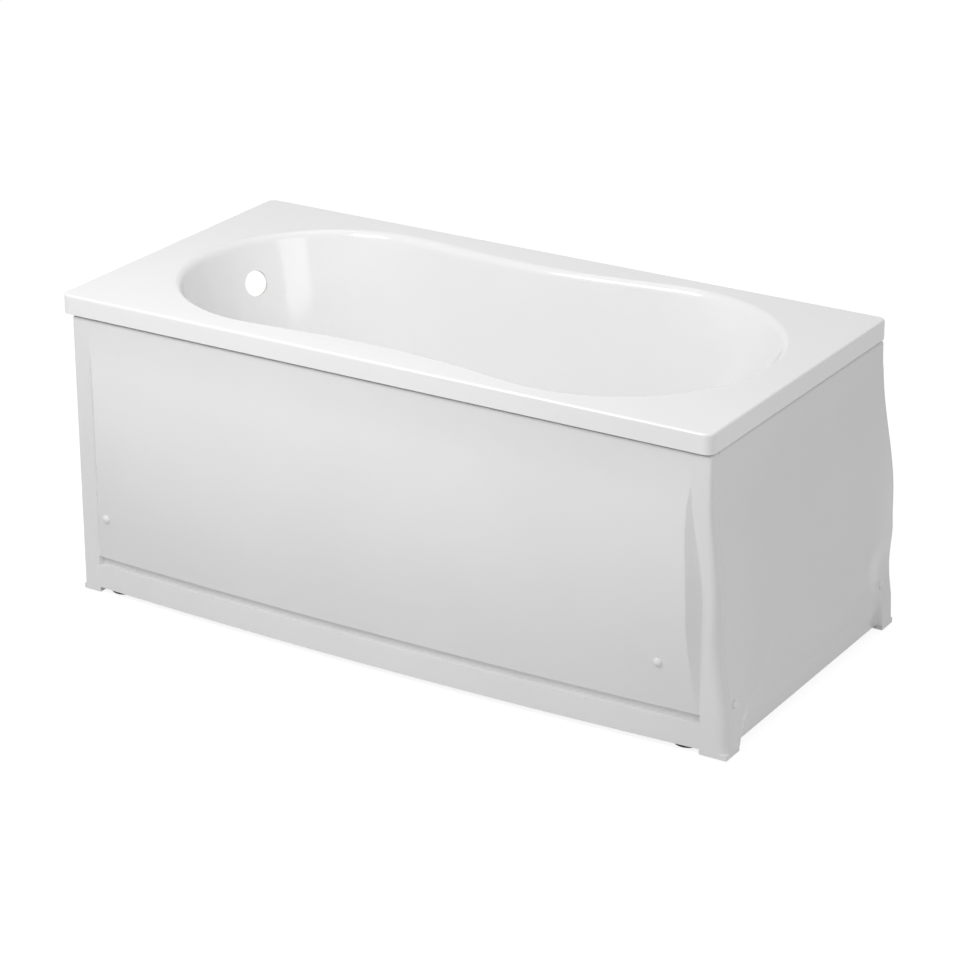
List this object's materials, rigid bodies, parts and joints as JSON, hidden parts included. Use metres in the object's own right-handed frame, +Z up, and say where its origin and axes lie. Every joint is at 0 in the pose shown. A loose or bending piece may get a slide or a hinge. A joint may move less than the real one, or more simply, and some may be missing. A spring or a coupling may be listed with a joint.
{
  "type": "bathtub",
  "caption": "White rectangular acrylic bathtub with an oval armrest basin, a pillowed front panel, a flared end panel and a steel frame on levelling feet.",
  "frame": {"origin": "middle of the footprint, on the floor under the levelling feet", "axes": "+X from the drain end to the head end, +Y from the front panel to the wall side, +Z up"},
  "size_m": [1.442, 0.7241, 0.615],
  "materials": {
    "acrylic": "gloss white sheet",
    "panel_plastic": "gloss white moulded sheet",
    "cap_plastic": "gloss white",
    "board_wood": "raw particle board and softwood",
    "frame_steel": "grey powder coat",
    "zinc_steel": "bright zinc plate",
    "foot_plastic": "black matte"
  },
  "bodies": {
    "tub": {"base_board": "board_wood", "board_screws": "zinc_steel", "bracket_screws": "zinc_steel", "corner_block_back_drain": "board_wood", "corner_block_back_head": "board_wood", "corner_block_front_drain": "board_wood", "corner_block_front_head": "board_wood", "cross_rail_drain_end": "frame_steel", "cross_rail_head_end": "frame_steel", "cross_rail_middle": "frame_steel", "end_panel": "panel_plastic", "frame_bolts": "zinc_steel", "frame_nuts": "zinc_steel", "front_panel": "panel_plastic", "hanger_rail_front": "frame_steel", "hanger_rail_head_end": "frame_steel", "hanger_screws": "zinc_steel", "lock_nuts": "zinc_steel", "long_rail_back": "frame_steel", "long_rail_front": "frame_steel", "panel_bracket_end_back": "frame_steel", "panel_bracket_end_front": "frame_steel", "panel_bracket_front_drain": "frame_steel", "panel_bracket_front_head": "frame_steel", "panel_screws": "zinc_steel", "rim_batten_back": "board_wood", "rim_batten_drain_end": "board_wood", "rim_batten_front": "board_wood", "rim_batten_head_end": "board_wood", "screw_caps_end": "cap_plastic", "screw_caps_front": "cap_plastic", "tub_shell": "acrylic", "upright_back_drain": "frame_steel", "upright_back_head": "frame_steel", "upright_front_drain": "frame_steel", "upright_front_head": "frame_steel", "upright_screws": "zinc_steel"},
    "foot_front_drain": {"foot_pad_front_drain": "foot_plastic", "foot_stud_front_drain": "zinc_steel"},
    "foot_back_drain": {"foot_pad_back_drain": "foot_plastic", "foot_stud_back_drain": "zinc_steel"},
    "foot_front_head": {"foot_pad_front_head": "foot_plastic", "foot_stud_front_head": "zinc_steel"},
    "foot_back_head": {"foot_pad_back_head": "foot_plastic", "foot_stud_back_head": "zinc_steel"},
    "foot_middle": {"foot_pad_middle": "foot_plastic", "foot_stud_middle": "zinc_steel"}
  },
  "joints": [
    {"name": "foot_front_drain_height", "type": "slide", "parent": "tub", "child": "foot_front_drain", "axis": [0, 0, -1], "range_m": [0, 0.025]},
    {"name": "foot_back_drain_height", "type": "slide", "parent": "tub", "child": "foot_back_drain", "axis": [0, 0, -1], "range_m": [0, 0.025]},
    {"name": "foot_front_head_height", "type": "slide", "parent": "tub", "child": "foot_front_head", "axis": [0, 0, -1], "range_m": [0, 0.025]},
    {"name": "foot_back_head_height", "type": "slide", "parent": "tub", "child": "foot_back_head", "axis": [0, 0, -1], "range_m": [0, 0.025]},
    {"name": "foot_middle_height", "type": "slide", "parent": "tub", "child": "foot_middle", "axis": [0, 0, -1], "range_m": [0, 0.025]}
  ]
}
